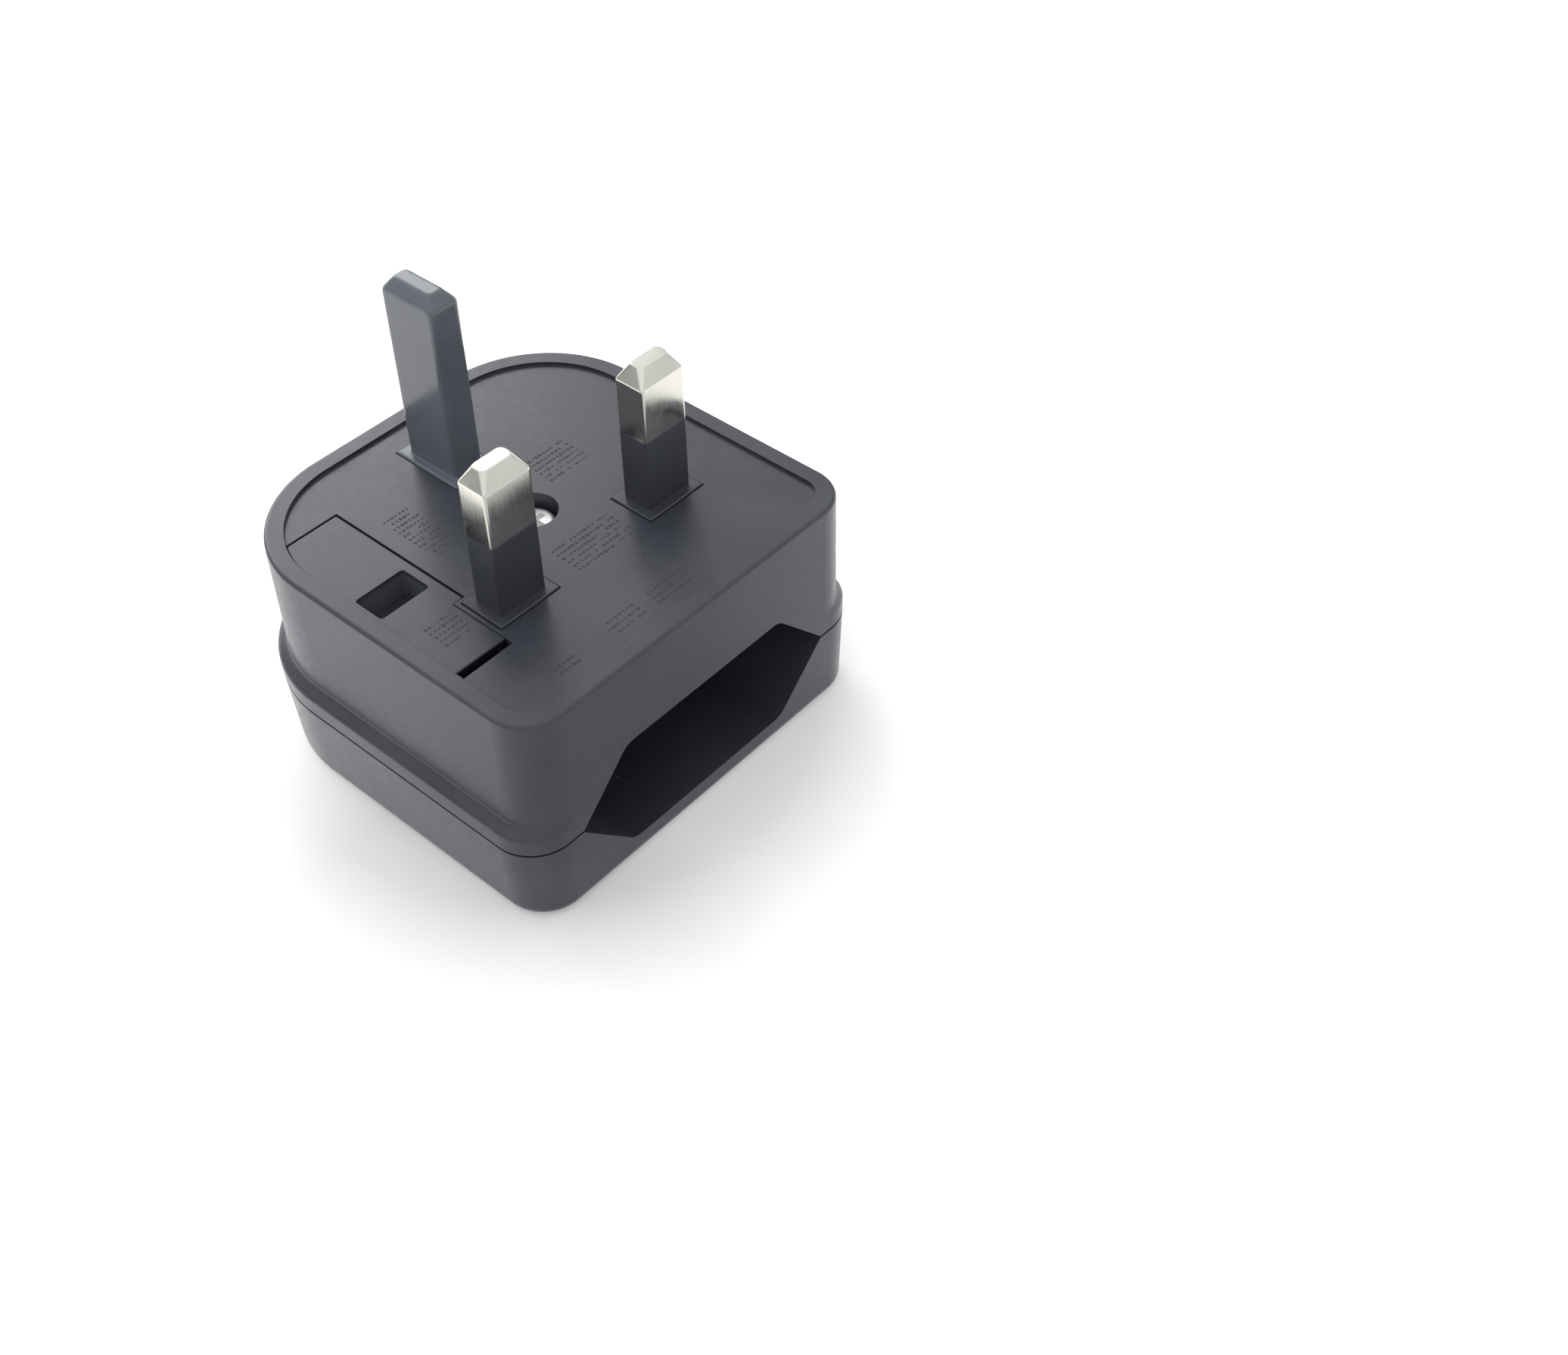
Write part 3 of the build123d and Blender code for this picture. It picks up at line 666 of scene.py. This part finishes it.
def plated_metal(name, colour, roughness, stretch, depth, spread=0.05):
    """Bright plating with fine lines, soft edges and slight changes of tone."""
    material, tree, shader, place = new_material(name)
    drawn = use_group(tree, "drawn_metal", {"Vector": place, "Stretch": stretch})
    edges = use_group(tree, "softened_edges", {"Radius": METAL_EDGE})
    low, high = scaled(colour, 0.95), scaled(colour, 1.03)
    tone = blend_colours(tree, drawn.outputs["Tone"], low, high)
    tree.links.new(tone, shader.inputs["Base Color"])
    least, most = max(LEAST_ROUGHNESS, roughness - spread), roughness + spread
    rough = remap(tree, drawn.outputs["Gloss"], 0.0, 1.0, least, most)
    tree.links.new(rough, shader.inputs["Roughness"])
    add_bump(tree, shader, depth, drawn.outputs["Height"], edges.outputs["Normal"])
    shader.inputs["Metallic"].default_value = 1.0
    return material


def glazed_ceramic(name, colour):
    """Pale glazed tube with faint speckle."""
    material, tree, shader, place = new_material(name)
    grain = use_group(
        tree,
        "moulded_grain",
        {"Vector": place, "Grain Scale": 3500.0, "Patch Scale": 260.0},
    )
    tone = blend_colours(tree, grain.outputs["Tone"], scaled(colour, 0.93), colour)
    tree.links.new(tone, shader.inputs["Base Color"])
    rough = remap(tree, grain.outputs["Gloss"], 0.0, 1.0, 0.24, 0.34)
    tree.links.new(rough, shader.inputs["Roughness"])
    add_bump(tree, shader, 0.000004, grain.outputs["Height"])
    return material


# ---------------------------------------------------------------- fuse carrier


def shorten_lid(opening):
    """Fuse carrier whose lid stops short of its slot, in place of the plain one."""
    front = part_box("fuse_carrier")[0].y
    shape = bmesh.new()
    shape.from_mesh(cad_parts["fuse_carrier"].data)
    # The solid's faces are loose here: their borders stay sharp when they are merged
    for edge in shape.edges:
        if edge.is_boundary:
            edge.smooth = False
    bmesh.ops.remove_doubles(shape, verts=shape.verts, dist=MERGE_DISTANCE)
    for point in shape.verts:
        if point.co.y < front + LID_END:
            point.co.y += opening
    mesh = bpy.data.meshes.new("carrier_lid")
    shape.to_mesh(mesh)
    shape.free()
    mesh.attributes.remove(mesh.attributes["custom_normal"])
    lid = bpy.data.objects.new("carrier_lid", mesh)
    bpy.context.scene.collection.objects.link(lid)
    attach(lid, "fuse_drawer")
    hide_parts("fuse_carrier")
    return lid


# ---------------------------------------------------------------- raised marks


def make_marks_tree(material):
    """Geometry tree that lays rows of short raised strokes of uneven length."""
    tree = bpy.data.node_groups.new("raised_marks", "GeometryNodeTree")
    for label, kind, default in (
        ("Width", "NodeSocketFloat", 0.006),
        ("Depth", "NodeSocketFloat", 0.003),
        ("Columns", "NodeSocketInt", 6),
        ("Rows", "NodeSocketInt", 3),
        ("Stroke", "NodeSocketFloat", 0.0002),
        ("Rise", "NodeSocketFloat", 0.00007),
        ("Seed", "NodeSocketInt", 7),
    ):
        socket = tree.interface.new_socket(name=label, in_out="INPUT", socket_type=kind)
        socket.default_value = default
    tree.interface.new_socket(name="Geometry", in_out="OUTPUT", socket_type="NodeSocketGeometry")
    source = tree.nodes.new("NodeGroupInput")
    sink = tree.nodes.new("NodeGroupOutput")
    given = source.outputs
    grid = add_node(
        tree,
        "GeometryNodeMeshGrid",
        {
            "Size X": given["Width"],
            "Size Y": given["Depth"],
            "Vertices X": given["Columns"],
            "Vertices Y": given["Rows"],
        },
    )
    steps = maths(tree, "MAXIMUM", maths(tree, "SUBTRACT", given["Columns"], 1.0), 1.0)
    cell = maths(tree, "DIVIDE", given["Width"], steps)
    outline = add_node(
        tree,
        "GeometryNodeCurvePrimitiveQuadrilateral",
        {"Width": given["Stroke"], "Height": given["Stroke"]},
    )
    face = add_node(tree, "GeometryNodeFillCurve", {"Curve": outline.outputs["Curve"]})
    block = add_node(
        tree,
        "GeometryNodeExtrudeMesh",
        {"Mesh": face.outputs["Mesh"], "Offset Scale": given["Rise"]},
    )
    length = add_node(
        tree,
        "FunctionNodeRandomValue",
        {"Min": 0.30, "Max": 0.82, "Seed": given["Seed"]},
        data_type="FLOAT",
    )
    longest = maths(tree, "DIVIDE", cell, given["Stroke"])
    height = add_node(
        tree,
        "FunctionNodeRandomValue",
        {"Min": 0.30, "Max": 1.0, "Seed": maths(tree, "ADD", given["Seed"], 5.0)},
        data_type="FLOAT",
    )
    stretch = add_node(tree, "ShaderNodeCombineXYZ", {"Z": 1.0})
    reach = maths(tree, "MULTIPLY", longest, length.outputs[1])
    tree.links.new(reach, stretch.inputs["X"])
    tree.links.new(height.outputs[1], stretch.inputs["Y"])
    kept = add_node(
        tree,
        "FunctionNodeRandomValue",
        {"Probability": 0.86, "Seed": maths(tree, "ADD", given["Seed"], 3.0)},
        data_type="BOOLEAN",
    )
    laid = add_node(
        tree,
        "GeometryNodeInstanceOnPoints",
        {
            "Points": grid.outputs["Mesh"],
            "Instance": block.outputs["Mesh"],
            "Scale": stretch.outputs["Vector"],
            "Selection": kept.outputs[3],
        },
    )
    real = add_node(tree, "GeometryNodeRealizeInstances", {"Geometry": laid.outputs["Instances"]})
    painted = add_node(
        tree,
        "GeometryNodeSetMaterial",
        {"Geometry": real.outputs["Geometry"], "Material": material},
    )
    tree.links.new(painted.outputs["Geometry"], sink.inputs["Geometry"])
    return tree


def lay_marks(tree, name, centre, size, columns, rows, settings, seed):
    """One block of raised marks as a plain mesh in its place."""
    blank = bpy.data.meshes.new(name + "_blank")
    holder = bpy.data.objects.new(name + "_holder", blank)
    bpy.context.scene.collection.objects.link(holder)
    modifier = holder.modifiers.new("marks", "NODES")
    modifier.node_group = tree
    sockets = [item for item in tree.interface.items_tree if item.in_out == "INPUT"]
    keys = {item.name: item.identifier for item in sockets}
    values = {
        "Width": size[0] * MM,
        "Depth": size[1] * MM,
        "Columns": columns,
        "Rows": rows,
        "Stroke": settings.stroke,
        "Rise": settings.rise,
        "Seed": seed,
    }
    for label, value in values.items():
        modifier[keys[label]] = value
    bpy.context.view_layer.update()
    graph = bpy.context.evaluated_depsgraph_get()
    mesh = bpy.data.meshes.new_from_object(holder.evaluated_get(graph), depsgraph=graph)
    bpy.data.objects.remove(holder)
    if not mesh.polygons:
        raise RuntimeError(f"no marks were laid for {name}")
    mesh.name = name
    mesh.transform(Matrix.Translation(Vector(centre)))
    made = bpy.data.objects.new(name, mesh)
    bpy.context.scene.collection.objects.link(made)
    return made


# ---------------------------------------------------------------- operators


class ADAPTER_OT_effects(bpy.types.Operator):
    """Builds the shared shader effects."""

    bl_idname = "adapter.effects"
    bl_label = "Build shared effects"

    def execute(self, context):
        make_grain_group()
        make_edge_group()
        make_dust_group()
        make_drawn_group()
        return {"FINISHED"}


class ADAPTER_OT_case(bpy.types.Operator):
    """Finishes the two shells, the fuse carrier and the contact block."""

    bl_idname = "adapter.case"
    bl_label = "Finish the case"

    def execute(self, context):
        look = context.scene.adapter_plastic
        surface = (
            tuple(look.case_colour),
            look.case_roughness,
            look.grain_size,
            look.grain_depth,
            look.dust,
        )
        finish_nodes(moulded_plastic("case_plastic", *surface), *CASE_NODES)
        opening = context.scene.adapter_relief.slot_opening
        low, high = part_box("fuse_carrier")
        sunk_box = (low.y + opening, high.z)
        # This material paints light and shade in the carrier's window well and on its slot's end
        # wall
        carrier = moulded_plastic("carrier_plastic", *surface, sunk_box=sunk_box)
        shorten_lid(opening).data.materials.append(carrier)
        return {"FINISHED"}


class ADAPTER_OT_pins(bpy.types.Operator):
    """Finishes the earth pin, the insulating sleeves and the plated blades."""

    bl_idname = "adapter.pins"
    bl_label = "Finish the pins"

    def execute(self, context):
        look = context.scene.adapter_plastic
        metal = context.scene.adapter_metal
        earth = moulded_plastic(
            "earth_pin_plastic",
            tuple(look.earth_colour),
            look.case_roughness - 0.14,
            look.grain_size,
            0.6 * look.grain_depth,
            0.5 * look.dust,
            edge_radius=EARTH_EDGE,
        )
        finish_nodes(earth, "earth_pin")
        sleeve = moulded_plastic(
            "sleeve_plastic",
            tuple(look.sleeve_colour),
            look.case_roughness + 0.02,
            look.grain_size,
            look.grain_depth,
            0.5 * look.dust,
            # Much paler sleeve edges: partly wear, partly a painted highlight
            edge_lift=2.2,
        )
        finish_nodes(sleeve, *SLEEVE_NODES)
        nickel = plated_metal(
            "pin_plating",
            tuple(metal.nickel_colour),
            metal.nickel_roughness,
            stretch=(9000.0, 9000.0, 300.0),
            depth=0.0000004,
        )
        finish_nodes(nickel, *BLADE_NODES)
        return {"FINISHED"}


class ADAPTER_OT_screw(bpy.types.Operator):
    """Finishes the case screw."""

    bl_idname = "adapter.screw"
    bl_label = "Finish the screw"

    def execute(self, context):
        metal = context.scene.adapter_metal
        zinc = plated_metal(
            "screw_plating",
            tuple(metal.zinc_colour),
            roughness=0.52,
            stretch=(5000.0, 5000.0, 5000.0),
            depth=0.000001,
        )
        finish_nodes(zinc, "case_screw")
        return {"FINISHED"}


class ADAPTER_OT_fuse(bpy.types.Operator):
    """Finishes the fuse's tube and caps."""

    bl_idname = "adapter.fuse"
    bl_label = "Finish the fuse"

    def execute(self, context):
        metal = context.scene.adapter_metal
        finish_nodes(glazed_ceramic("fuse_ceramic", tuple(metal.ceramic_colour)), "fuse_tube")
        caps = plated_metal(
            "fuse_plating",
            tuple(metal.cap_colour),
            roughness=0.18,
            stretch=(7000.0, 250.0, 7000.0),
            depth=0.000001,
        )
        finish_nodes(caps, *FUSE_CAP_NODES)
        return {"FINISHED"}


class ADAPTER_OT_contacts(bpy.types.Operator):
    """Finishes the brass clips, contacts, strip and rivets."""

    bl_idname = "adapter.contacts"
    bl_label = "Finish the contacts"

    def execute(self, context):
        metal = context.scene.adapter_metal
        brass = plated_metal(
            "contact_brass",
            tuple(metal.brass_colour),
            roughness=0.28,
            stretch=(400.0, 7000.0, 7000.0),
            depth=0.000002,
        )
        finish_nodes(brass, *BRASS_NODES)
        return {"FINISHED"}


class ADAPTER_OT_marks(bpy.types.Operator):
    """Lays rows of plain raised marks on the pin face and on the fuse carrier."""

    bl_idname = "adapter.marks"
    bl_label = "Lay the raised marks"

    def execute(self, context):
        settings = context.scene.adapter_relief
        tree = make_marks_tree(bpy.data.materials["case_plastic"])
        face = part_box("upper_shell")[1].z - settings.face_depth
        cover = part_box("fuse_carrier")[1].z
        # Name, middle in metres, width and depth in millimetres, columns, rows and body
        blocks = (
            ("marks_behind_pins", (0.0078, 0.0038, face), (5.6, 4.2), 11, 6, "housing"),
            ("marks_between_pins", (0.0006, -0.0092, face), (8.2, 4.2), 16, 6, "housing"),
            ("marks_front_middle", (-0.0061, -0.0202, face), (4.2, 1.8), 8, 3, "housing"),
            ("marks_front_right", (0.0008, -0.0203, face), (5.0, 1.8), 10, 3, "housing"),
            ("marks_front_left", (-0.0146, -0.0205, face), (2.4, 0.9), 5, 2, "housing"),
            ("marks_beside_carrier", (-0.0104, 0.0061, face), (3.2, 8.4), 7, 11, "housing"),
            ("marks_on_carrier", (-0.0188, -0.0075, cover), (3.4, 3.3), 7, 5, "fuse_drawer"),
        )
        for step, (name, centre, size, columns, rows, body) in enumerate(blocks):
            seed = settings.seed + 11 * step
            made = lay_marks(tree, name, centre, size, columns, rows, settings, seed)
            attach(made, body)
        return {"FINISHED"}


class ADAPTER_OT_stage(bpy.types.Operator):
    """Sets the floor, the light and the camera."""

    bl_idname = "adapter.stage"
    bl_label = "Set the stage"

    def execute(self, context):
        stage = context.scene.adapter_stage
        self.lay_floor(context, stage)
        self.light_room(context, stage)
        self.hang_lamp(context, stage)
        self.place_camera(context, stage)
        context.scene.view_settings.view_transform = "Standard"
        return {"FINISHED"}

    def lay_floor(self, context, stage):
        """Pale floor that keeps the shadow and is clear from below; its uneven glow paints the
        shadow's falloff and the floor that reflections show.
        """
        flat = ((-1, -1), (1, -1), (1, 1), (-1, 1))
        corners = [(FLOOR_REACH * x, FLOOR_REACH * y, FLOOR_LEVEL) for x, y in flat]
        mesh = bpy.data.meshes.new("floor")
        mesh.from_pydata(corners, [], [(0, 1, 2, 3)])
        floor = bpy.data.objects.new("floor", mesh)
        context.scene.collection.objects.link(floor)
        material, tree, shader, place = new_material("floor_white")
        mesh.materials.append(material)
        shader.inputs["Base Color"].default_value = (*stage.floor_colour, 1.0)
        shader.inputs["Roughness"].default_value = 0.9
        shader.inputs["Specular IOR Level"].default_value = 0.0
        strength = self.lift_floor(tree, place, stage.floor_lift)
        glow = add_node(tree, "ShaderNodeEmission", {"Color": GLOW_COLOUR, "Strength": strength})
        both = add_node(tree, "ShaderNodeAddShader")
        tree.links.new(shader.outputs["BSDF"], both.inputs[0])
        tree.links.new(glow.outputs["Emission"], both.inputs[1])
        side = add_node(tree, "ShaderNodeNewGeometry")
        clear = add_node(tree, "ShaderNodeBsdfTransparent")
        sided = add_node(tree, "ShaderNodeMixShader", {"Fac": side.outputs["Backfacing"]})
        tree.links.new(both.outputs["Shader"], sided.inputs[1])
        tree.links.new(clear.outputs["BSDF"], sided.inputs[2])
        out = next(node for node in tree.nodes if node.type == "OUTPUT_MATERIAL")
        tree.links.new(sided.outputs["Shader"], out.inputs["Surface"])

    def lift_floor(self, tree, place, lift):
        """Glow that lifts the floor toward white, one for the camera and one for reflections; both
        are uneven, painting the shadow's falloff and the floor that reflections show.
        """

        def glow(value, span):
            low, high, first, last = span
            return remap(tree, value, low, high, first * lift, last * lift)

        split = add_node(tree, "ShaderNodeSeparateXYZ", {"Vector": place})
        x, y = split.outputs["X"], split.outputs["Y"]
        far = add_node(tree, "ShaderNodeVectorMath", {0: place}, operation="LENGTH")
        # Camera glow: weaker close to the object, stronger to the right and back, a painted shadow
        # falloff on the floor
        sides = maths(tree, "ADD", glow(x, RIGHT_GLOW), glow(y, BACK_GLOW))
        shown = maths(tree, "ADD", glow(far.outputs["Value"], RING_GLOW), sides)
        # Reflection glow: brighter toward the back and right and in a strip at the object's foot, a
        # painted reflection in the case's walls
        beyond = maths(tree, "MAXIMUM", maths(tree, "SUBTRACT", x, MIRROR_RIGHT), 0.0)
        away = maths(tree, "ADD", y, maths(tree, "MULTIPLY", beyond, MIRROR_SLANT))
        across = maths(tree, "ABSOLUTE", x)
        square = maths(tree, "MAXIMUM", across, maths(tree, "ABSOLUTE", y))
        painted_reflection_glow = maths(tree, "ADD", glow(away, MIRROR_GLOW), glow(square, FOOT_GLOW))
        ray = tree.nodes.new("ShaderNodeLightPath")
        direct = maths(tree, "MULTIPLY", shown, ray.outputs["Is Camera Ray"])
        return maths(tree, "ADD", direct, maths(tree, "MULTIPLY", painted_reflection_glow, in_mirrors(tree, ray)))

    def light_room(self, context, stage):
        """Overhead light that fades toward the horizon and the front, and white for the camera."""
        world = bpy.data.worlds.new("studio")
        context.scene.world = world
        world.use_nodes = True
        tree = world.node_tree
        tree.nodes.clear()
        way = add_node(tree, "ShaderNodeTexCoord")
        split = add_node(tree, "ShaderNodeSeparateXYZ", {"Vector": way.outputs["Generated"]})
        skyline = remap(tree, split.outputs["Y"], *SKYLINE)
        high = remap(tree, split.outputs["Z"], *OVERHEAD, skyline, 1.0)
        behind = remap(tree, split.outputs["Y"], *FRONT_FADE)
        ray = tree.nodes.new("ShaderNodeLightPath")
        direct = ray.outputs["Is Camera Ray"]
        evened = maths(tree, "MAXIMUM", behind, in_mirrors(tree, ray))
        shape = maths(tree, "MULTIPLY", high, evened)
        light = maths(tree, "MULTIPLY", shape, stage.room_light)
        strength = maths(tree, "MAXIMUM", light, direct)
        tint = blend_colours(tree, direct, ROOM_TINT, WHITE)
        back = add_node(tree, "ShaderNodeBackground", {"Color": tint, "Strength": strength})
        out = tree.nodes.new("ShaderNodeOutputWorld")
        tree.links.new(back.outputs["Background"], out.inputs["Surface"])

    def hang_lamp(self, context, stage):
        """One large soft lamp behind the object."""
        lamp = bpy.data.lights.new("key", "AREA")
        lamp.shape = "RECTANGLE"
        lamp.size, lamp.size_y = LAMP_SIZE
        lamp.energy = stage.key_power
        key = bpy.data.objects.new("key", lamp)
        place = Vector(LAMP_PLACE)
        turn = (Vector(LAMP_AIM) - place).to_track_quat("-Z", "Y")
        key.matrix_world = Matrix.Translation(place) @ turn.to_matrix().to_4x4()
        context.scene.collection.objects.link(key)

    def place_camera(self, context, stage):
        """Camera at the photograph's place and angle."""
        lens = bpy.data.cameras.new("camera")
        lens.sensor_fit = "HORIZONTAL"
        lens.sensor_width = 36.0
        lens.lens = stage.camera_lens
        lens.clip_start = 0.01
        lens.clip_end = 50.0
        camera = bpy.data.objects.new("camera", lens)
        turn, tilt, roll = stage.camera_angles
        look = Matrix.Rotation(turn, 4, "Z") @ Matrix.Rotation(tilt, 4, "X")
        look = look @ Matrix.Rotation(roll, 4, "Y")
        camera.matrix_world = Matrix.Translation(Vector(stage.camera_place)) @ look
        context.scene.collection.objects.link(camera)
        context.scene.camera = camera


# ---------------------------------------------------------------- panel


class ADAPTER_PT_panel(bpy.types.Panel):
    """Settings and steps in the sidebar."""

    bl_idname = "ADAPTER_PT_panel"
    bl_label = "Travel adapter"
    bl_space_type = "VIEW_3D"
    bl_region_type = "UI"
    bl_category = "Adapter"

    def draw(self, context):
        layout = self.layout
        for name in SETTINGS:
            group = getattr(context.scene, name)
            column = layout.column(align=True)
            for key in group.bl_rna.properties.keys():
                if key not in ("rna_type", "name"):
                    column.prop(group, key)
        for step in STEPS:
            layout.operator(step.bl_idname)


STEPS = (
    ADAPTER_OT_effects,
    ADAPTER_OT_case,
    ADAPTER_OT_pins,
    ADAPTER_OT_screw,
    ADAPTER_OT_fuse,
    ADAPTER_OT_contacts,
    ADAPTER_OT_marks,
    ADAPTER_OT_stage,
)
SETTINGS = {
    "adapter_plastic": ADAPTER_PG_plastic,
    "adapter_metal": ADAPTER_PG_metal,
    "adapter_relief": ADAPTER_PG_relief,
    "adapter_stage": ADAPTER_PG_stage,
}


def register():
    for kind in (*SETTINGS.values(), *STEPS, ADAPTER_PT_panel):
        bpy.utils.register_class(kind)
    for name, kind in SETTINGS.items():
        setattr(bpy.types.Scene, name, bpy.props.PointerProperty(type=kind))


def unregister():
    for name in SETTINGS:
        delattr(bpy.types.Scene, name)
    for kind in (ADAPTER_PT_panel, *reversed(STEPS), *SETTINGS.values()):
        bpy.utils.unregister_class(kind)


def main():
    register()
    bpy.ops.adapter.effects()
    bpy.ops.adapter.case()
    bpy.ops.adapter.pins()
    bpy.ops.adapter.screw()
    bpy.ops.adapter.fuse()
    bpy.ops.adapter.contacts()
    bpy.ops.adapter.marks()
    bpy.ops.adapter.stage()


if __name__ == "__main__":
    main()
